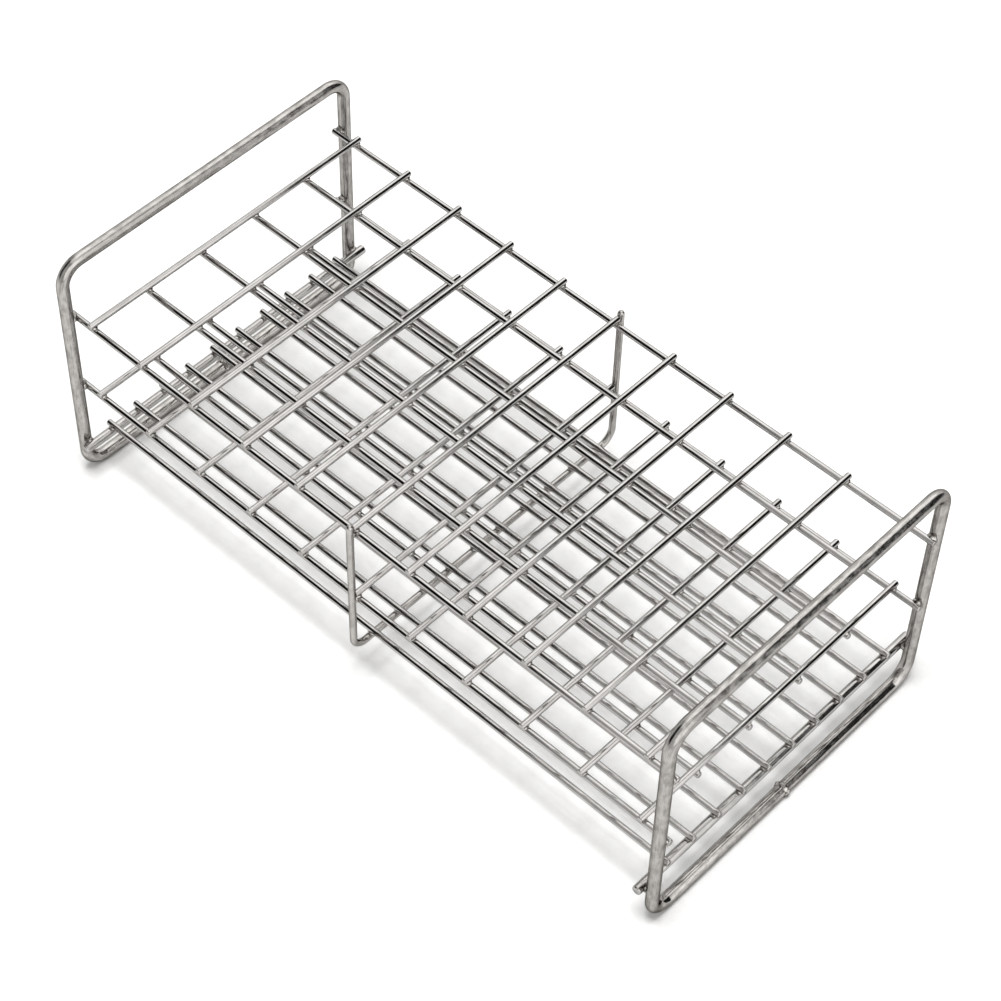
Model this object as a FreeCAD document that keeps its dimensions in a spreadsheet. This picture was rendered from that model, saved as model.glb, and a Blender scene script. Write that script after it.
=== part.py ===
import FreeCAD, Part
import Sketcher
import math
import os
from FreeCAD import Vector

# Wire test tube rack for 5 x 10 tubes, welded from round stainless wire and rod.
# +Z is up. The origin is on the surface that the rack stands on, under its middle.
# X runs along the row of ten cells and Y along the row of five. Sizes are in mm.

CELLS_ALONG_X = 10
CELLS_ALONG_Y = 5
FLOOR_WIRES_PER_ROW = 2

SIZES = {
    "pitch": 21.6,              # cell centre to cell centre, both ways
    "wire_dia": 2.0,            # grid wires and floor wires
    "frame_rod_dia": 4.0,       # the two end frames
    "cross_rod_dia": 3.0,       # rods that carry the ends of the floor wires
    "support_dia": 2.2,         # U-shaped support at mid-length
    "rack_height": 90.0,        # over the handles
    "rack_length": 236.4,       # over the two end frames
    "frame_bend": 7.0,          # bend radius of the frame rod, at its centre line
    "support_bend": 5.0,        # bend radius of the support, at its centre line
    "top_grid_level": 69.3,     # centre line of the upper grid's cross wires
    "mid_grid_level": 39.3,     # centre line of the lower grid's cross wires
    "floor_level": 16.5,        # centre line of the floor wires
    "support_top": 71.5,        # tips of the support's legs
    "cross_wire_reach": 55.6,   # half length of a cross wire
    "inner_wire_reach": 109.6,  # half length of an inner long wire
    "outer_wire_reach": 118.0,  # half length of an outer long wire
    "floor_wire_reach": 114.5,  # half length of a floor wire
    "cross_rod_reach": 60.2,    # half length of a floor cross rod
    "wire_bevel": 0.25,         # broken edge on cut wires
    "cross_rod_bevel": 0.5,     # broken edge on the cross rods
    "leg_rounding": 1.0,        # rounded tips of the support's legs
    "frame_bead": 1.7,          # radius of the weld beads on the end frames
    "support_bead": 0.95,       # radius of the weld beads on the support
    "butt_ring": 1.6,           # ring radius of the weld that closes a frame's loop
    "butt_bead": 1.1,           # section radius of that ring
    "butt_clearance": 0.05,     # that ring is ground off this far above the table
    "weld_root": 0.35,          # radius of the unfilled root where two rods touch
}

# Places that follow from the sizes, as expressions on the sheet.
OUTER_WIRE_Y = "(%g * Sizes.pitch)" % (CELLS_ALONG_Y / 2)
OUTER_WIRE_FACE_Y = "(" + OUTER_WIRE_Y + " + Sizes.wire_dia / 2)"
UPRIGHT_Y = "(" + OUTER_WIRE_FACE_Y + " + Sizes.frame_rod_dia / 2)"
LEG_Y = "(" + OUTER_WIRE_FACE_Y + " + Sizes.support_dia / 2)"
FRAME_X = "(Sizes.rack_length / 2 - Sizes.frame_rod_dia / 2)"
FRAME_INNER_X = "(" + FRAME_X + " - Sizes.frame_rod_dia / 2)"
CROSS_ROD_X = "(" + FRAME_INNER_X + " - Sizes.cross_rod_dia / 2)"
FLOOR_UNDERSIDE_Z = "(Sizes.floor_level - Sizes.wire_dia / 2)"
CROSS_ROD_Z = "(" + FLOOR_UNDERSIDE_Z + " - Sizes.cross_rod_dia / 2)"
SUPPORT_Z = "(" + FLOOR_UNDERSIDE_Z + " - Sizes.support_dia / 2)"

# The two ends with the sign of their X, and the two grids with their level.
SIDES = (("left", "-"), ("right", ""))
GRIDS = (("top", "Sizes.top_grid_level"), ("mid", "Sizes.mid_grid_level"))

ALONG_X = FreeCAD.Rotation(Vector(0, 1, 0), 90)
ALONG_Y = FreeCAD.Rotation(Vector(1, 0, 0), 90)
ALONG_Z = FreeCAD.Rotation()

doc = FreeCAD.newDocument("TestTubeRack")
nodes = []


# ---------------------------------------------------------------- helpers

def make_sheet():
    sheet = doc.addObject("Spreadsheet::Sheet", "Sizes")
    for row, (name, value) in enumerate(SIZES.items(), start=1):
        sheet.set("A%d" % row, name)
        sheet.set("B%d" % row, str(value))
        sheet.setAlias("B%d" % row, name)
    doc.recompute()


def bind(item, size_name, expression):
    """Drive one length of an item from the sheet, whose cells are plain numbers of mm."""
    item.setExpression(size_name, "(" + expression + ") * 1 mm")


def place(item, x="0", y="0", z="0", rotation=ALONG_Z):
    item.Placement = FreeCAD.Placement(Vector(), rotation)
    bind(item, "Placement.Base.x", x)
    bind(item, "Placement.Base.y", y)
    bind(item, "Placement.Base.z", z)


def new_body(label):
    body = doc.addObject("PartDesign::Body", label)
    body.Label = label
    nodes.append(body)
    return body


def origin_plane(body, role):
    return next(plane for plane in body.Origin.OriginFeatures if plane.Role == role)


def sketch_on(body, name, role):
    sketch = body.newObject("Sketcher::SketchObject", name)
    sketch.AttachmentSupport = [(origin_plane(body, role), "")]
    sketch.MapMode = "FlatFace"
    return sketch


def size_constraint(sketch, constraint, name, expression):
    index = sketch.addConstraint(constraint)
    sketch.renameConstraint(index, name)
    bind(sketch, "Constraints." + name, expression)


def round_section(body, role, diameter):
    """A circle on one of the body's own planes, centred on the body's origin."""
    sketch = sketch_on(body, body.Label + "_section", role)
    circle = sketch.addGeometry(Part.Circle(Vector(), Vector(0, 0, 1), 1))
    sketch.addConstraint(Sketcher.Constraint("Coincident", circle, 3, -1, 1))
    size_constraint(sketch, Sketcher.Constraint("Diameter", circle, 2), "diameter", diameter)
    return sketch


def circular_edges(feature, lowest=-math.inf):
    """Names of the feature's round edges that are centred above a height."""
    return [
        "Edge%d" % number
        for number, edge in enumerate(feature.Shape.Edges, start=1)
        if isinstance(edge.Curve, Part.Circle) and edge.Curve.Center.z > lowest
    ]


# ---------------------------------------------------------------- rods

def straight_rod(label, diameter, reach, bevel):
    """A cut length of rod along the body's own Z, centred on its origin."""
    body = new_body(label)
    pad = body.newObject("PartDesign::Pad", label + "_length")
    pad.Profile = round_section(body, "XY_Plane", diameter)
    pad.Midplane = True
    bind(pad, "Length", "2 * " + reach)
    doc.recompute()
    chamfer = body.newObject("PartDesign::Chamfer", label + "_bevel")
    chamfer.Base = (pad, circular_edges(pad))
    bind(chamfer, "Size", bevel)
    return body


def half_path(body, half_width, height, bend, closes):
    """Centre line of one half of a bent rod, in the body's YZ plane.

    It starts in the middle of the bottom bar, turns up through a bend and, if the rod
    closes on itself, turns back to the middle through a second bend.
    """
    sketch = sketch_on(body, body.Label + "_path", "YZ_Plane")

    def line(start, end):
        return sketch.addGeometry(Part.LineSegment(Vector(*start, 0), Vector(*end, 0)))

    def quarter_turn(centre, start_angle):
        circle = Part.Circle(Vector(*centre, 0), Vector(0, 0, 1), 5)
        return sketch.addGeometry(Part.ArcOfCircle(circle, start_angle, start_angle + math.pi / 2))

    def join(first, second):
        sketch.addConstraint(Sketcher.Constraint("Tangent", first, 2, second, 1))

    bar = line((0, 0), (50, 0))
    turn = quarter_turn((50, 5), -math.pi / 2)
    upright = line((55, 5), (55, 80))
    sketch.addConstraint(Sketcher.Constraint("Coincident", bar, 1, -1, 1))
    sketch.addConstraint(Sketcher.Constraint("Horizontal", bar))
    join(bar, turn)
    join(turn, upright)
    sketch.addConstraint(Sketcher.Constraint("Vertical", upright))
    if closes:
        upper_turn = quarter_turn((50, 80), 0)
        top_bar = line((50, 85), (0, 85))
        join(upright, upper_turn)
        join(upper_turn, top_bar)
        sketch.addConstraint(Sketcher.Constraint("Horizontal", top_bar))
        sketch.addConstraint(Sketcher.Constraint("Equal", turn, upper_turn))
        sketch.addConstraint(Sketcher.Constraint("PointOnObject", top_bar, 2, -2))
        last = top_bar
    else:
        last = upright
    size_constraint(sketch, Sketcher.Constraint("Radius", turn, 5), "bend", bend)
    size_constraint(
        sketch, Sketcher.Constraint("DistanceX", -1, 1, upright, 1, 55), "half_width", half_width)
    size_constraint(
        sketch, Sketcher.Constraint("DistanceY", -1, 1, last, 2, 80), "height", height)
    return sketch


def bent_rod(label, diameter, half_width, height, bend, closes):
    """A rod swept along half its path and mirrored across the body's XZ plane."""
    body = new_body(label)
    path = half_path(body, half_width, height, bend, closes)
    section = round_section(body, "XZ_Plane", diameter)
    doc.recompute()
    half = body.newObject("PartDesign::AdditivePipe", label + "_half")
    half.Profile = section
    half.Spine = (path, ["Edge%d" % (n + 1) for n in range(len(path.Shape.Edges))])
    whole = body.newObject("PartDesign::Mirrored", label + "_whole")
    whole.Originals = [half]
    whole.MirrorPlane = (origin_plane(body, "XZ_Plane"), [""])
    body.Tip = whole
    doc.recompute()
    return body


# ---------------------------------------------------------------- grids and floor

def make_grid(prefix, level):
    """Cross wires lie on top of the long wires and are spot welded to them."""
    middle = CELLS_ALONG_X // 2
    for index in range(CELLS_ALONG_X + 1):
        # The middle one ends against the legs of the support.
        reach = OUTER_WIRE_FACE_Y if index == middle else "Sizes.cross_wire_reach"
        label = "%s_cross_wire_%02d" % (prefix, index + 1)
        wire = straight_rod(label, "Sizes.wire_dia", reach, "Sizes.wire_bevel")
        place(wire, x="(%d) * Sizes.pitch" % (index - middle), z=level, rotation=ALONG_Y)
    for index in range(CELLS_ALONG_Y + 1):
        # The two outer ones run on to the uprights of the end frames.
        is_outer = index in (0, CELLS_ALONG_Y)
        reach = "Sizes.outer_wire_reach" if is_outer else "Sizes.inner_wire_reach"
        label = "%s_long_wire_%d" % (prefix, index + 1)
        wire = straight_rod(label, "Sizes.wire_dia", reach, "Sizes.wire_bevel")
        across = "(%g) * Sizes.pitch" % (index - CELLS_ALONG_Y / 2)
        place(wire, y=across, z=level + " - Sizes.wire_dia", rotation=ALONG_X)


def make_floor():
    """Pairs of wires under each row of cells, carried at their ends by two rods."""
    count = CELLS_ALONG_Y * FLOOR_WIRES_PER_ROW
    for index in range(count):
        wire = straight_rod("floor_wire_%02d" % (index + 1), "Sizes.wire_dia",
                            "Sizes.floor_wire_reach", "Sizes.wire_bevel")
        across = "(%g) * Sizes.pitch / %d" % (index - (count - 1) / 2, FLOOR_WIRES_PER_ROW)
        place(wire, y=across, z="Sizes.floor_level", rotation=ALONG_X)
    for side, sign in SIDES:
        rod = straight_rod(side + "_cross_rod", "Sizes.cross_rod_dia",
                           "Sizes.cross_rod_reach", "Sizes.cross_rod_bevel")
        place(rod, x=sign + CROSS_ROD_X, z=CROSS_ROD_Z, rotation=ALONG_Y)


# ---------------------------------------------------------------- frames and support

def make_end_frames():
    """Each end is one rod bent to a closed loop: feet, uprights and a handle bar."""
    for side, sign in SIDES:
        frame = bent_rod(side + "_end_frame", "Sizes.frame_rod_dia", UPRIGHT_Y,
                         "Sizes.rack_height - Sizes.frame_rod_dia", "Sizes.frame_bend",
                         closes=True)
        place(frame, x=sign + FRAME_X, z="Sizes.frame_rod_dia / 2")


def make_centre_support():
    """A U of thinner rod that holds both grids and the floor wires at mid-length."""
    support = bent_rod("centre_support", "Sizes.support_dia", LEG_Y,
                       "Sizes.support_top - " + SUPPORT_Z, "Sizes.support_bend", closes=False)
    rod = support.Tip
    above_bends = SIZES["support_bend"] * 2
    rounding = support.newObject("PartDesign::Fillet", "centre_support_tips")
    rounding.Base = (rod, circular_edges(rod, lowest=above_bends))
    bind(rounding, "Radius", "Sizes.leg_rounding")
    place(support, z=SUPPORT_Z)


# ---------------------------------------------------------------- welds

def cut_away(item, tool):
    cut = doc.addObject("Part::Cut", item.Name + "_less")
    cut.Base = item
    cut.Tool = tool
    return cut


def weld_bead(name, radius, x, y, z, normal, neighbours):
    """A ball of weld metal, less the rods that it joins.

    The ball's poles lie along the line that joins the two rods' axes. The very root of
    the weld, round the point where the rods touch, stays unfilled.
    """
    bead = doc.addObject("Part::Sphere", name)
    bind(bead, "Radius", radius)
    place(bead, x, y, z, normal)
    root = doc.addObject("Part::Sphere", name + "_root")
    bind(root, "Radius", "Sizes.weld_root")
    place(root, x, y, z, normal)
    bead = cut_away(bead, root)
    for neighbour in neighbours:
        bead = cut_away(bead, neighbour)
    return bead


def butt_bead(frame, x):
    """A ring of weld metal round a frame's bottom bar, ground off underneath."""
    ring = doc.addObject("Part::Torus", "butt_bead")
    bind(ring, "Radius1", "Sizes.butt_ring")
    bind(ring, "Radius2", "Sizes.butt_bead")
    place(ring, x, "0", "Sizes.frame_rod_dia / 2", ALONG_Y)
    ground_off = doc.addObject("Part::Box", "ground_off")
    for side in ("Length", "Width", "Height"):
        bind(ground_off, side, "2 * Sizes.frame_rod_dia")
    place(ground_off, x + " - Sizes.frame_rod_dia", "-Sizes.frame_rod_dia",
          "Sizes.butt_clearance - 2 * Sizes.frame_rod_dia")
    return cut_away(cut_away(ring, ground_off), frame)


def weld_group(label, beads):
    group = doc.addObject("Part::Compound", label)
    group.Label = label
    group.Links = beads
    nodes.append(group)


def node(label):
    return next(item for item in nodes if item.Label == label)


def outer_long_wire(prefix, y_sign):
    return node("%s_long_wire_%d" % (prefix, 1 if y_sign == "-" else CELLS_ALONG_Y + 1))


def make_grid_welds(prefix, level):
    """Where a grid's outer long wires meet the four uprights."""
    beads = []
    for side, x_sign in SIDES:
        for y_sign in ("-", ""):
            neighbours = [node(side + "_end_frame"), outer_long_wire(prefix, y_sign)]
            beads.append(weld_bead(
                prefix + "_grid_bead", "Sizes.frame_bead", x_sign + FRAME_X,
                y_sign + OUTER_WIRE_FACE_Y, level + " - Sizes.wire_dia", ALONG_Y, neighbours))
    weld_group(prefix + "_grid_welds", beads)


def make_cross_rod_welds():
    """Where the floor's cross rods meet the four uprights."""
    beads = []
    for side, x_sign in SIDES:
        neighbours = [node(side + "_end_frame"), node(side + "_cross_rod")]
        for y_sign in ("-", ""):
            beads.append(weld_bead(
                "cross_rod_bead", "Sizes.frame_bead", x_sign + FRAME_INNER_X,
                y_sign + UPRIGHT_Y, CROSS_ROD_Z, ALONG_X, neighbours))
    weld_group("cross_rod_welds", beads)


def make_support_welds():
    """Where the support's legs meet the outer long wires of both grids."""
    beads = []
    for prefix, level in GRIDS:
        for y_sign in ("-", ""):
            neighbours = [node("centre_support"), outer_long_wire(prefix, y_sign)]
            beads.append(weld_bead(
                "support_bead", "Sizes.support_bead", "0", y_sign + OUTER_WIRE_FACE_Y,
                level + " - Sizes.wire_dia", ALONG_Y, neighbours))
    weld_group("support_welds", beads)


def make_butt_welds():
    """The joint that closes each frame's rod, in the middle of its bottom bar."""
    beads = [butt_bead(node(side + "_end_frame"), sign + FRAME_X) for side, sign in SIDES]
    weld_group("frame_butt_welds", beads)


# ---------------------------------------------------------------- build

def check_document():
    for item in doc.Objects:
        if "Invalid" in item.State or "Error" in item.State:
            raise RuntimeError("%s did not compute: %s" % (item.Name, item.State))
    for item in nodes:
        if item.Shape.isNull() or not item.Shape.isValid() or not item.Shape.Solids:
            raise RuntimeError(item.Label + " has no valid solid")


def write_parts():
    os.makedirs("parts", exist_ok=True)
    for item in nodes:
        item.Shape.exportStep("parts/" + item.Label + ".step")


make_sheet()
make_end_frames()
for grid_name, grid_level in GRIDS:
    make_grid(grid_name, grid_level)
make_floor()
make_centre_support()
doc.recompute()
for grid_name, grid_level in GRIDS:
    make_grid_welds(grid_name, grid_level)
make_cross_rod_welds()
make_support_welds()
make_butt_welds()
doc.recompute()
check_document()
write_parts()
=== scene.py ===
"""Looks of the wire test tube rack: drawn stainless rods and wires with their welds,
on a pale floor in a soft white studio. Metres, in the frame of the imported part."""
import math
import random

import bmesh
import bpy
from mathutils import Matrix, Vector, noise


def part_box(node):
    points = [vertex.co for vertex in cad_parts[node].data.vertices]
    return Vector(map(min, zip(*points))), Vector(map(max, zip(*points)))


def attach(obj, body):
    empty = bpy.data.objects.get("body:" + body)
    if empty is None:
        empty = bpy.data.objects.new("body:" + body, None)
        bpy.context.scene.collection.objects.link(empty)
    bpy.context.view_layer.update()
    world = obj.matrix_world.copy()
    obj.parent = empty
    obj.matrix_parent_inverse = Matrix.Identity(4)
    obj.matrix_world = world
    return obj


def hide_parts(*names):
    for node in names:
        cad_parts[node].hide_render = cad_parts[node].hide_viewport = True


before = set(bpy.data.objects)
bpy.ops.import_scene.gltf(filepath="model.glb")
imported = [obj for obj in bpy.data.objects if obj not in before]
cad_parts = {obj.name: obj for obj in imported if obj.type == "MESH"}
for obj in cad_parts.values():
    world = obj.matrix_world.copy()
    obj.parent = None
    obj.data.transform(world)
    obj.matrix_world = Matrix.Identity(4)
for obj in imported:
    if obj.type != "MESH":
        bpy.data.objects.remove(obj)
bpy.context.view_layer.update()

MM = 0.001
X_AXIS = Vector((1, 0, 0))
Y_AXIS = Vector((0, 1, 0))
Z_AXIS = Vector((0, 0, 1))

# Looks of the steels, in noise features per metre across, across and along the rod.
DRAWING_LINES = (4200, 4200, 90)
SCRATCHES = (14000, 14000, 260)
BLOTCH_STRETCH = 0.45               # blotches are drawn out along the rod
EDGE_TINT = (0.30, 0.295, 0.285)    # steel mirrors less where it is seen almost edge on
FOOT_POLISH_HEIGHTS = (8 * MM, 16 * MM)   # polished below the first, plain above the second

WELD_HOLLOW = (0.10, 0.092, 0.084)
WELD_CREST = (0.56, 0.542, 0.52)
WELD_RELIEF = 0.12 * MM

# Wander of a hand-straightened wire from its line, and how fast it changes along it.
WIRE_WANDER = 0.10 * MM
CROSS_ROD_WANDER = 0.05 * MM
WANDER_PER_METRE = 14

# Spacing of the mesh rings along straight wires, along bent rods, and round a bend.
WIRE_STEP = 4 * MM
BENT_ROD_STEP = 3 * MM
BEND_STEPS = 14
FRAME_BEND_RADIUS = 7 * MM
FRAME_HALF_GAP = 0.4 * MM           # half the butt joint, which the weld ring covers
SUPPORT_BEND_RADIUS = 5 * MM
SUPPORT_SEED = 77

# Shape of a rod's end: distance back from the tip and share of the radius, in radii.
CUT_END = ((0.42, 1.0), (0.26, 0.985), (0.12, 0.93), (0.04, 0.84), (0.0, 0.70))
DOMED_END = ((1.0, 1.0), (0.72, 0.96), (0.45, 0.84), (0.22, 0.63), (0.07, 0.38),
             (0.0, 0.16))

# Half sizes of the weld lumps, and how uneven they are.
UPRIGHT_BEAD = (1.7 * MM, 1.55 * MM, 1.6 * MM)
SUPPORT_BEAD = (1.3 * MM, 1.2 * MM, 1.25 * MM)
CROSS_ROD_BEAD = (1.6 * MM, 1.7 * MM, 1.65 * MM)
GRID_SPOT = (1.25 * MM, 1.25 * MM, 0.75 * MM)
FLOOR_SPOT = (1.3 * MM, 1.2 * MM, 0.7 * MM)
LARGE_BEAD_LUMPINESS = 0.16
SMALL_BEAD_LUMPINESS = 0.14
LUMP_FINENESS = 3

# The butt weld's ring: points round it and along it, and its size.
RING_AROUND, RING_ALONG = 48, 10
RING_RISE = 0.62 * MM
RING_HALF_LENGTH = 0.95 * MM
RING_SINK = 0.06 * MM               # how deep its edge sits in the rod
RING_FOOT = 0.05 * MM               # how far it stays above the rod's lowest line


# ---------------------------------------------------------------- node helpers

def new_tree(block):
    block.use_nodes = True
    block.node_tree.nodes.clear()
    return block.node_tree


def calc(tree, operation, *values):
    """A Math node on sockets or numbers; returns its output."""
    node = tree.nodes.new("ShaderNodeMath")
    node.operation = operation
    for slot, value in enumerate(values):
        if isinstance(value, bpy.types.NodeSocket):
            tree.links.new(value, node.inputs[slot])
        else:
            node.inputs[slot].default_value = value
    return node.outputs[0]


def smooth_range(tree, value, low, high, to_low=0.0, to_high=1.0):
    node = tree.nodes.new("ShaderNodeMapRange")
    node.interpolation_type = "SMOOTHSTEP"
    tree.links.new(value, node.inputs[0])
    for slot, number in enumerate((low, high, to_low, to_high), start=1):
        node.inputs[slot].default_value = number
    return node.outputs[0]


def noise_on(tree, vector, per_metre, detail, roughness=0.55):
    """Noise on a vector whose axes are first scaled by per_metre."""
    scaled = tree.nodes.new("ShaderNodeVectorMath")
    scaled.operation = "MULTIPLY"
    tree.links.new(vector, scaled.inputs[0])
    scaled.inputs[1].default_value = per_metre
    texture = tree.nodes.new("ShaderNodeTexNoise")
    texture.inputs["Scale"].default_value = 1.0
    texture.inputs["Detail"].default_value = detail
    texture.inputs["Roughness"].default_value = roughness
    tree.links.new(scaled.outputs[0], texture.inputs["Vector"])
    return texture.outputs["Fac"]


def object_place(tree):
    """The point's place on the rack, in metres."""
    return tree.nodes.new("ShaderNodeTexCoord").outputs["Object"]


def two_colours(tree, factor, dark, light):
    node = tree.nodes.new("ShaderNodeMix")
    node.data_type = "RGBA"
    tree.links.new(factor, node.inputs["Factor"])
    for name, colour in (("A", dark), ("B", light)):
        socket = next(s for s in node.inputs if s.name == name and s.type == "RGBA")
        socket.default_value = (*colour, 1.0)
    return next(s for s in node.outputs if s.type == "RGBA")


def surface(tree, colour, roughness, metallic, height=None, depth=0.0):
    """Principled shader and output, with an optional bump of that depth in metres."""
    shader = tree.nodes.new("ShaderNodeBsdfPrincipled")
    shader.inputs["Metallic"].default_value = metallic
    if metallic:
        shader.inputs["Specular Tint"].default_value = (*EDGE_TINT, 1.0)
    tree.links.new(colour, shader.inputs["Base Color"])
    if isinstance(roughness, bpy.types.NodeSocket):
        tree.links.new(roughness, shader.inputs["Roughness"])
    else:
        shader.inputs["Roughness"].default_value = roughness
    if height is not None:
        bump = tree.nodes.new("ShaderNodeBump")
        bump.inputs["Distance"].default_value = depth
        tree.links.new(height, bump.inputs["Height"])
        tree.links.new(bump.outputs[0], shader.inputs["Normal"])
    output = tree.nodes.new("ShaderNodeOutputMaterial")
    tree.links.new(shader.outputs[0], output.inputs[0])


# ---------------------------------------------------------------- materials

def drawn_steel(name, dark, light, rough, line_depth, blotch_mm, blotch_depth,
                foot_polish=1.0):
    """Stainless rod with fine lengthwise drawing lines and a slightly blotchy polish.

    It reads the "rod" attribute: where a point is in its rod's cross-section, and how
    far along the rod. Near the floor its roughness is multiplied by foot_polish.
    """
    material = bpy.data.materials.new(name)
    tree = new_tree(material)
    attribute = tree.nodes.new("ShaderNodeAttribute")
    attribute.attribute_name = "rod"
    rod = attribute.outputs["Vector"]
    lines = noise_on(tree, rod, DRAWING_LINES, detail=4.0)
    scratches = noise_on(tree, rod, SCRATCHES, detail=2.0)
    across = 1000 / blotch_mm
    blotches = noise_on(tree, rod, (across, across, across * BLOTCH_STRETCH),
                        detail=4.0, roughness=0.6)
    tone = calc(tree, "ADD", calc(tree, "MULTIPLY", blotches, 0.65),
                calc(tree, "MULTIPLY", lines, 0.35))
    colour = two_colours(tree, smooth_range(tree, tone, 0.36, 0.62), dark, light)
    dull = calc(tree, "ADD", blotches, calc(tree, "MULTIPLY", scratches, 0.35))
    roughness = smooth_range(tree, dull, 0.45, 0.85, *rough)
    height = tree.nodes.new("ShaderNodeSeparateXYZ")
    tree.links.new(object_place(tree), height.inputs[0])
    roughness = calc(tree, "MULTIPLY", roughness, smooth_range(
        tree, height.outputs[2], *FOOT_POLISH_HEIGHTS, foot_polish, 1.0))
    relief = calc(tree, "ADD", lines, calc(tree, "MULTIPLY", scratches, 0.5))
    relief = calc(tree, "ADD", relief,
                  calc(tree, "MULTIPLY", blotches, blotch_depth / line_depth))
    surface(tree, colour, roughness, 1.0, relief, line_depth)
    return material


def weld_metal(name):
    """Cleaned weld metal: lumpy, part bright and part dull, with brownish hollows."""
    material = bpy.data.materials.new(name)
    tree = new_tree(material)
    place = object_place(tree)
    coarse = noise_on(tree, place, (900, 900, 900), detail=4.0, roughness=0.6)
    fine = noise_on(tree, place, (4500, 4500, 4500), detail=3.0)
    colour = two_colours(tree, smooth_range(tree, coarse, 0.38, 0.6),
                         WELD_HOLLOW, WELD_CREST)
    roughness = smooth_range(tree, fine, 0.35, 0.7, 0.14, 0.42)
    surface(tree, colour, roughness, 1.0, coarse, WELD_RELIEF)
    return material


def floor_board(name):
    """Matt white board with a very faint mottle."""
    material = bpy.data.materials.new(name)
    tree = new_tree(material)
    mottle = noise_on(tree, object_place(tree), (260, 260, 260), detail=6.0,
                      roughness=0.7)
    colour = two_colours(tree, smooth_range(tree, mottle, 0.3, 0.6),
                         (0.86, 0.858, 0.852), (0.90, 0.898, 0.893))
    surface(tree, colour, roughness=0.8, metallic=0.0)
    return material


FRAME_STEEL = drawn_steel(
    "satin_frame_steel", dark=(0.27, 0.260, 0.248), light=(0.47, 0.455, 0.440),
    rough=(0.11, 0.26), line_depth=0.008 * MM,
    blotch_mm=1.5, blotch_depth=0.018 * MM, foot_polish=0.4)
ROD_STEEL = drawn_steel(
    "bright_rod_steel", dark=(0.35, 0.341, 0.332), light=(0.47, 0.459, 0.449),
    rough=(0.05, 0.12), line_depth=0.004 * MM,
    blotch_mm=3.0, blotch_depth=0.01 * MM)
WIRE_STEEL = drawn_steel(
    "bright_wire_steel", dark=(0.36, 0.351, 0.342), light=(0.47, 0.459, 0.450),
    rough=(0.03, 0.08), line_depth=0.002 * MM,
    blotch_mm=3.0, blotch_depth=0.005 * MM)
SUPPORT_STEEL = drawn_steel(
    "satin_support_steel", dark=(0.33, 0.316, 0.300), light=(0.47, 0.454, 0.438),
    rough=(0.10, 0.20), line_depth=0.005 * MM,
    blotch_mm=2.0, blotch_depth=0.02 * MM)
WELD_STEEL = weld_metal("cleaned_weld_metal")


# ---------------------------------------------------------------- rods and wires

def new_builder():
    builder = bmesh.new()
    builder.verts.layers.float_vector.new("rod")
    return builder


def finish_piece(builder, name, material, slot, *nodes):
    """Turn a bmesh into a smooth piece that rides on the rack and replaces CAD nodes."""
    bmesh.ops.recalc_face_normals(builder, faces=builder.faces)
    for face in builder.faces:
        face.smooth = True
    mesh = bpy.data.meshes.new(name)
    builder.to_mesh(mesh)
    builder.free()
    mesh.materials.append(material)
    piece = bpy.data.objects.new(name, mesh)
    bpy.context.scene.collection.objects.link(piece)
    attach(piece, "root")
    if nodes:
        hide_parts(*nodes)


def sweep(builder, stations, closed=False, sides=28):
    """Skin a round rod over stations: (centre, tangent, side direction, radius, length)."""
    layer = builder.verts.layers.float_vector["rod"]
    rings = []
    for centre, tangent, side, radius, length in stations:
        other = tangent.cross(side)
        ring = []
        for k in range(sides):
            turn = 2 * math.pi * k / sides
            cos, sin = math.cos(turn), math.sin(turn)
            vert = builder.verts.new(centre + (side * cos + other * sin) * radius)
            vert[layer] = Vector((radius * cos, radius * sin, length))
            ring.append(vert)
        rings.append(ring)
    pairs = list(zip(rings, rings[1:]))
    if closed:
        pairs.append((rings[-1], rings[0]))
    for first, second in pairs:
        for k in range(sides):
            after = (k + 1) % sides
            builder.faces.new((first[k], first[after], second[after], second[k]))
    if not closed:
        builder.faces.new(rings[0][::-1])
        builder.faces.new(rings[-1])


def phase_of(seed):
    """Where on the noise a rod starts, so that no two rods look the same."""
    return random.Random(seed).uniform(0, 100)


def sway(length, phase, amount, tangent, side):
    """The small wander of a real wire from its ideal line, at that length along it."""
    at = length * WANDER_PER_METRE + phase
    other = tangent.cross(side)
    return (side * noise.noise((at, 0.3, 0)) + other * noise.noise((at, 7.1, 3))) * amount


def straight_rod(node, material, slot, seed, wander):
    """A cut wire or rod in place of a CAD one, a hair off straight, with blunt ends."""
    low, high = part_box(node)
    middle, extent = (low + high) / 2, high - low
    axis = X_AXIS if extent.x > extent.y else Y_AXIS
    half, radius = extent.dot(axis) / 2, extent.z / 2
    phase = phase_of(seed)
    inner = half - CUT_END[0][0] * radius
    steps = round(2 * inner / WIRE_STEP)
    places = [(-half + back * radius, share) for back, share in reversed(CUT_END)]
    places += [(-inner + 2 * inner * k / steps, 1.0) for k in range(1, steps)]
    places += [(half - back * radius, share) for back, share in CUT_END]
    stations = []
    for along, share in places:
        centre = middle + axis * along + sway(along + half, phase, wander, axis, Z_AXIS)
        stations.append((centre, axis, Z_AXIS, radius * share, along + half + phase))
    builder = new_builder()
    sweep(builder, stations)
    finish_piece(builder, node + "_drawn", material, slot, node)


def run(start, end):
    """Points and tangents along a straight run, without its last point."""
    steps = max(1, round((end - start).length / BENT_ROD_STEP))
    tangent = (end - start).normalized()
    return [(start.lerp(end, k / steps), tangent) for k in range(steps)]


def bend(centre, radius, start, turn):
    """Points and tangents round a bend in a YZ plane, from angle start, in degrees."""
    points = []
    for k in range(BEND_STEPS):
        angle = math.radians(start + turn * k / BEND_STEPS)
        spoke = Vector((0, math.cos(angle), math.sin(angle)))
        along = Vector((0, -math.sin(angle), math.cos(angle))) * math.copysign(1, turn)
        points.append((centre + spoke * radius, along))
    return points


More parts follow.
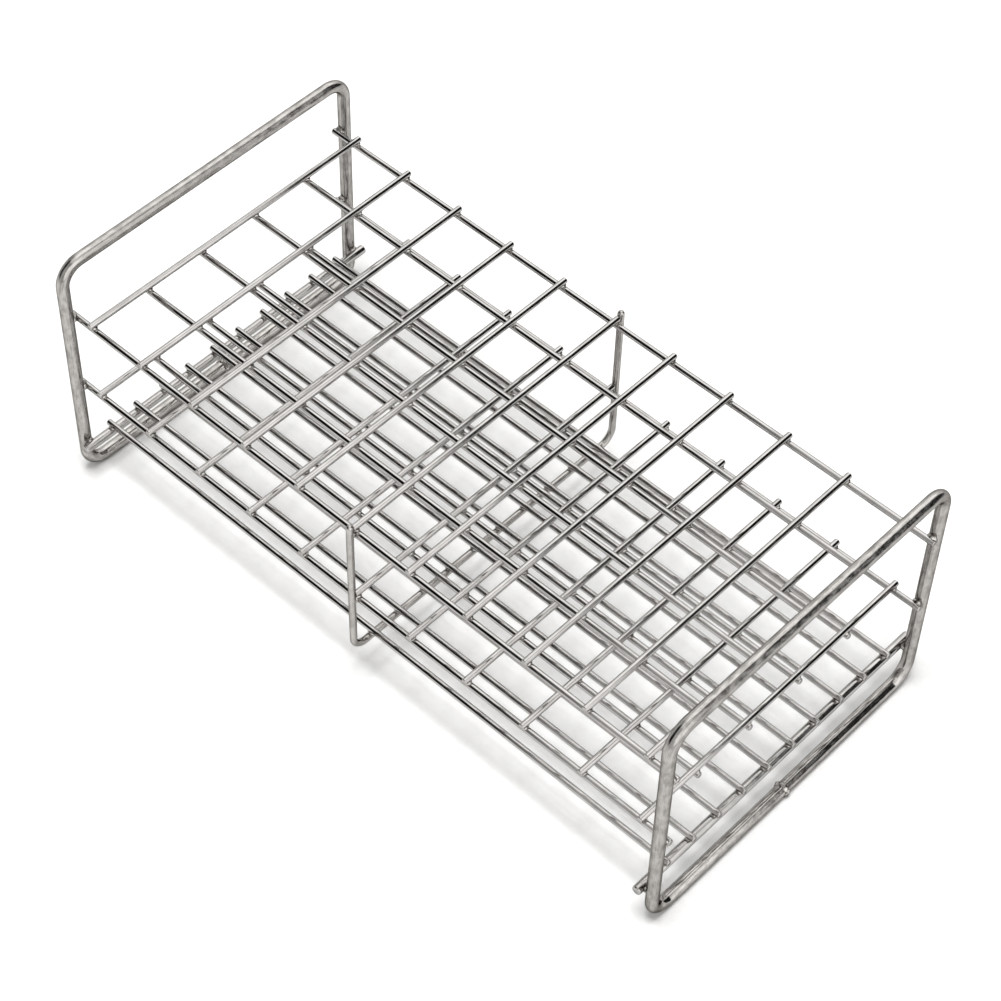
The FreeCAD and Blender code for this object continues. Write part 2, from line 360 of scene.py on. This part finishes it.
def along_path(points, radius, phase):
    """Sweep stations for a path in a YZ plane, with its length counted up."""
    stations, length, previous = [], 0.0, points[0][0]
    for point, tangent in points:
        length += (point - previous).length
        previous = point
        stations.append((point, tangent, X_AXIS, radius, length + phase))
    return stations


def bent_rod_box(node):
    """A bent rod's box, its radius, and a function that gives a point in its plane."""
    low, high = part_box(node)
    radius, x = (high.x - low.x) / 2, (low.x + high.x) / 2
    return low, high, radius, lambda y, z: Vector((x, y, z))


def end_frame(node, seed):
    """A closed rod loop standing across one end. Its two ends meet under the rack."""
    low, high, radius, at = bent_rod_box(node)
    width, bottom, top = high.y - radius, low.z + radius, high.z - radius
    bend_radius, gap = FRAME_BEND_RADIUS, FRAME_HALF_GAP
    y, lower, upper = width - bend_radius, bottom + bend_radius, top - bend_radius
    points = run(at(gap, bottom), at(y, bottom))
    points += bend(at(y, lower), bend_radius, -90, 90)
    points += run(at(width, lower), at(width, upper))
    points += bend(at(y, upper), bend_radius, 0, 90)
    points += run(at(y, top), at(-y, top))
    points += bend(at(-y, upper), bend_radius, 90, 90)
    points += run(at(-width, upper), at(-width, lower))
    points += bend(at(-y, lower), bend_radius, 180, 90)
    points += run(at(-y, bottom), at(-gap, bottom))
    points.append((at(-gap, bottom), Y_AXIS))
    builder = new_builder()
    sweep(builder, along_path(points, radius, phase_of(seed)), closed=True, sides=40)
    finish_piece(builder, node + "_drawn", FRAME_STEEL, "frame_steel", node)


def centre_support(node, seed):
    """The U-shaped rod under the middle of the rack, with rounded upper ends."""
    low, high, radius, at = bent_rod_box(node)
    width, bottom, straight_top = high.y - radius, low.z + radius, high.z - radius
    bend_radius = SUPPORT_BEND_RADIUS
    y, z = width - bend_radius, bottom + bend_radius
    points = run(at(width, straight_top), at(width, z))
    points += bend(at(y, z), bend_radius, 0, -90)
    points += run(at(y, bottom), at(-y, bottom))
    points += bend(at(-y, z), bend_radius, -90, -90)
    points += run(at(-width, z), at(-width, straight_top))
    points.append((at(-width, straight_top), Z_AXIS))
    stations = along_path(points, radius, phase_of(seed))
    first, last = stations[0], stations[-1]
    for back, share in DOMED_END[1:]:
        rise = (1 - back) * radius
        stations.insert(0, (first[0] - first[1] * rise, first[1], X_AXIS,
                            radius * share, first[4] - rise))
        stations.append((last[0] + last[1] * rise, last[1], X_AXIS,
                         radius * share, last[4] + rise))
    builder = new_builder()
    sweep(builder, stations, sides=32)
    finish_piece(builder, node + "_drawn", SUPPORT_STEEL, "support_steel", node)


# ---------------------------------------------------------------- welds

def lump(builder, centre, size, lumpiness, seed):
    """One bead of weld metal: a rounded blob of that half size, unevenly swollen."""
    made = bmesh.ops.create_icosphere(builder, subdivisions=LUMP_FINENESS, radius=1.0)
    offset = Vector((seed * 3.7, seed * 1.3, seed * 2.1))
    for vert in made["verts"]:
        way = vert.co.normalized()
        swell = 1 + lumpiness * (noise.noise(way * 1.4 + offset)
                                 + 0.5 * noise.noise(way * 3.1 + offset))
        vert.co = centre + Vector(a * b for a, b in zip(way * swell, size))


def place_lumps(name, centres, size, lumpiness, *nodes):
    """A piece of one lump at each centre, in place of the CAD's welds if it has any."""
    builder = new_builder()
    for number, centre in enumerate(centres):
        lump(builder, centre, size, lumpiness, number + len(name))
    finish_piece(builder, name, WELD_STEEL, "weld_steel", *nodes)


def butt_ring(builder, centre, rod, seed):
    """A ragged ring of weld metal where the two ends of a frame's rod meet."""
    rings = []
    for k in range(RING_AROUND):
        turn = 2 * math.pi * k / RING_AROUND
        spoke = Vector((math.cos(turn), 0, math.sin(turn)))
        ring = []
        for j in range(RING_ALONG):
            swing = math.pi * j / (RING_ALONG - 1) - math.pi / 2
            uneven = noise.noise(spoke * 1.6 + Vector((seed, 2.2 * swing, 0)))
            rise = RING_RISE * math.cos(swing) * (1 + 0.5 * uneven)
            edge = noise.noise(spoke * 2.3 + Vector((0, 0, seed)))
            reach = RING_HALF_LENGTH * (1 + 0.35 * edge)
            point = (centre + spoke * (rod - RING_SINK + rise)
                     + Y_AXIS * reach * math.sin(swing))
            point.z = max(point.z, centre.z - rod + RING_FOOT)
            ring.append(builder.verts.new(point))
        rings.append(ring)
    for k in range(RING_AROUND):
        first, second = rings[k], rings[(k + 1) % RING_AROUND]
        for j in range(RING_ALONG - 1):
            builder.faces.new((first[j], second[j], second[j + 1], first[j + 1]))
        builder.faces.new((first[-1], second[-1], second[0], first[0]))


def centre_and_radius(node):
    """Middle of a straight rod's box, and its radius."""
    low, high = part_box(node)
    return (low + high) / 2, (high.z - low.z) / 2


def four(x, y, z):
    """The same point on both sides of both middle planes."""
    return [Vector((sx * x, sy * y, z)) for sx in (-1, 1) for sy in (-1, 1)]


# ---------------------------------------------------------------- the rack

for number, node in enumerate(sorted(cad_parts)):
    if "_wire" in node:
        straight_rod(node, WIRE_STEEL, "wire_steel", number, WIRE_WANDER)
    elif node.endswith("cross_rod"):
        straight_rod(node, ROD_STEEL, "cross_rod_steel", number, CROSS_ROD_WANDER)
    elif node.endswith("end_frame"):
        end_frame(node, number)
centre_support("centre_support", SUPPORT_SEED)

frame_low, frame_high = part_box("right_end_frame")
frame_radius = (frame_high.x - frame_low.x) / 2
frame_x = (frame_low.x + frame_high.x) / 2
upright_y = frame_high.y - frame_radius

grid_heights = []
for level in ("top", "mid"):
    wire, wire_radius = centre_and_radius(level + "_long_wire_6")
    grid_heights.append(wire.z)
    place_lumps(level + "_grid_weld_beads",
                four(frame_x, abs(wire.y) + wire_radius, wire.z),
                UPRIGHT_BEAD, LARGE_BEAD_LUMPINESS, level + "_grid_welds")
    long_wires = [centre_and_radius(f"{level}_long_wire_{k}")[0].y for k in range(1, 7)]
    cross_wires = [centre_and_radius(f"{level}_cross_wire_{k:02d}")[0].x
                   for k in range(1, 12)]
    place_lumps(level + "_spot_welds",
                [Vector((x, y, wire.z + wire_radius))
                 for x in cross_wires for y in long_wires],
                GRID_SPOT, SMALL_BEAD_LUMPINESS)

wire, wire_radius = centre_and_radius("top_long_wire_6")
place_lumps("support_weld_beads",
            [Vector((0, side * (abs(wire.y) + wire_radius), z))
             for side in (-1, 1) for z in grid_heights],
            SUPPORT_BEAD, SMALL_BEAD_LUMPINESS, "support_welds")

cross_rod, cross_rod_radius = centre_and_radius("right_cross_rod")
place_lumps("cross_rod_weld_beads",
            four(cross_rod.x + cross_rod_radius, upright_y, cross_rod.z),
            CROSS_ROD_BEAD, LARGE_BEAD_LUMPINESS, "cross_rod_welds")

# The floor wires lie on the left cross rod, the centre support and the right cross rod.
floor_wires = [centre_and_radius(f"floor_wire_{k:02d}")[0].y for k in range(1, 11)]
place_lumps("floor_spot_welds",
            [Vector((side * cross_rod.x, y, cross_rod.z + cross_rod_radius))
             for side in (-1, 0, 1) for y in floor_wires],
            FLOOR_SPOT, SMALL_BEAD_LUMPINESS)

builder = new_builder()
for side in (-1, 1):
    butt_ring(builder, Vector((side * frame_x, 0, frame_low.z + frame_radius)),
              frame_radius, 5.5 + side)
finish_piece(builder, "frame_butt_weld_rings", WELD_STEEL, "weld_steel",
             "frame_butt_welds")


# ---------------------------------------------------------------- floor

FLOOR_HALF_SIDE = 9.0

builder = bmesh.new()
builder.faces.new([builder.verts.new((x * FLOOR_HALF_SIDE, y * FLOOR_HALF_SIDE, 0.0))
                   for x, y in ((-1, -1), (1, -1), (1, 1), (-1, 1))])
floor_mesh = bpy.data.meshes.new("floor")
builder.to_mesh(floor_mesh)
builder.free()
floor_mesh.materials.append(floor_board("white_floor_board"))
floor = bpy.data.objects.new("floor", floor_mesh)
bpy.context.scene.collection.objects.link(floor)


# ---------------------------------------------------------------- light

AMBIENT = 0.50         # strength of the even light on matt surfaces
BACKDROP = 0.66        # strength that metal mirrors where there is no panel
ALL = (-1, 1)
# Each panel: brightness, edge softness, and its range of directions in x, y and z.
PANELS = (
    (1.45, 0.05, ALL, (-0.25, 1), (0.86, 1)),                   # ceiling softbox
    (1.80, 0.04, (0.42, 1), (-0.8, 1), (-1, 0.80)),             # white wall on the right
    (1.20, 0.06, (-1, 0.14), (0.25, 1), ALL),                   # panel at the back left
    (1.95, 0.08, (-0.62, 0.10), (0.15, 1), (0.52, 1)),          # its bright upper part
    (0.02, 0.010, (0.10, 1), (0.468, 1), (-0.35, 1)),           # gap behind the wall
    (0.01, 0.012, (-0.85, -0.365), (-0.97, -0.10), (0.05, 1)),  # dark corner, front left
)
STUDIO_WHITE = (1.0, 0.995, 0.985)


def studio_world(ambient, backdrop, panels):
    """A soft studio all round. A panel covers those before it. Metal mirrors the
    panels; matt surfaces get one even light instead."""
    world = bpy.data.worlds.new("soft_studio")
    bpy.context.scene.world = world
    tree = new_tree(world)
    direction = tree.nodes.new("ShaderNodeTexCoord").outputs["Generated"]
    split = tree.nodes.new("ShaderNodeSeparateXYZ")
    tree.links.new(direction, split.inputs[0])
    light = calc(tree, "ADD", backdrop, 0.0)
    for brightness, soft, *ranges in panels:
        window = calc(tree, "ADD", 1.0, 0.0)
        for value, (low, high) in zip(split.outputs, ranges):
            if low > -1:
                window = calc(tree, "MULTIPLY", window, smooth_range(
                    tree, value, low - soft, low + soft))
            if high < 1:
                window = calc(tree, "MULTIPLY", window, smooth_range(
                    tree, value, high - soft, high + soft, 1.0, 0.0))
        light = calc(tree, "ADD", light, calc(
            tree, "MULTIPLY", window, calc(tree, "SUBTRACT", brightness, light)))
    path = tree.nodes.new("ShaderNodeLightPath")
    strength = calc(tree, "ADD", ambient, calc(
        tree, "MULTIPLY", path.outputs["Is Glossy Ray"],
        calc(tree, "SUBTRACT", light, ambient)))
    background = tree.nodes.new("ShaderNodeBackground")
    background.inputs["Color"].default_value = (*STUDIO_WHITE, 1.0)
    tree.links.new(strength, background.inputs["Strength"])
    output = tree.nodes.new("ShaderNodeOutputWorld")
    tree.links.new(background.outputs[0], output.inputs[0])


studio_world(AMBIENT, BACKDROP, PANELS)

# A softbox over the rack that the metal doesn't mirror.
softbox = bpy.data.lights.new("key_softbox", "AREA")
softbox.shape = "SQUARE"
softbox.size = 0.5
softbox.energy = 13.2
lamp = bpy.data.objects.new("key_softbox", softbox)
bpy.context.scene.collection.objects.link(lamp)
lamp.location = (0.03, -0.12, 1.1)
lamp.rotation_euler = lamp.location.to_track_quat("Z", "Y").to_euler()
lamp.visible_glossy = False


# ---------------------------------------------------------------- camera

AZIMUTH, ELEVATION, ROLL = (math.radians(angle) for angle in (41.84, 50.91, 1.77))
LENS_MM, SENSOR_MM = 98.99, 36
AIM = Vector((0, 0, 0.069))
DISTANCE = 0.78256
SHIFT_RIGHT, SHIFT_DOWN = 0.003036, 0.02271

right = Vector((math.cos(AZIMUTH), math.sin(AZIMUTH), 0))
back = Vector((math.sin(AZIMUTH) * math.cos(ELEVATION),
               -math.cos(AZIMUTH) * math.cos(ELEVATION), math.sin(ELEVATION)))
up = back.cross(right)
right, up = (right * math.cos(ROLL) + up * math.sin(ROLL),
             up * math.cos(ROLL) - right * math.sin(ROLL))
camera_data = bpy.data.cameras.new("camera")
camera_data.sensor_width = SENSOR_MM
camera_data.lens = LENS_MM
camera = bpy.data.objects.new("camera", camera_data)
bpy.context.scene.collection.objects.link(camera)
place = AIM + back * DISTANCE + right * SHIFT_RIGHT - up * SHIFT_DOWN
camera.matrix_world = Matrix((
    (right.x, up.x, back.x, place.x),
    (right.y, up.y, back.y, place.y),
    (right.z, up.z, back.z, place.z),
    (0, 0, 0, 1)))
bpy.context.scene.camera = camera
bpy.context.scene.view_settings.view_transform = "Standard"

bpy.context.view_layer.update()
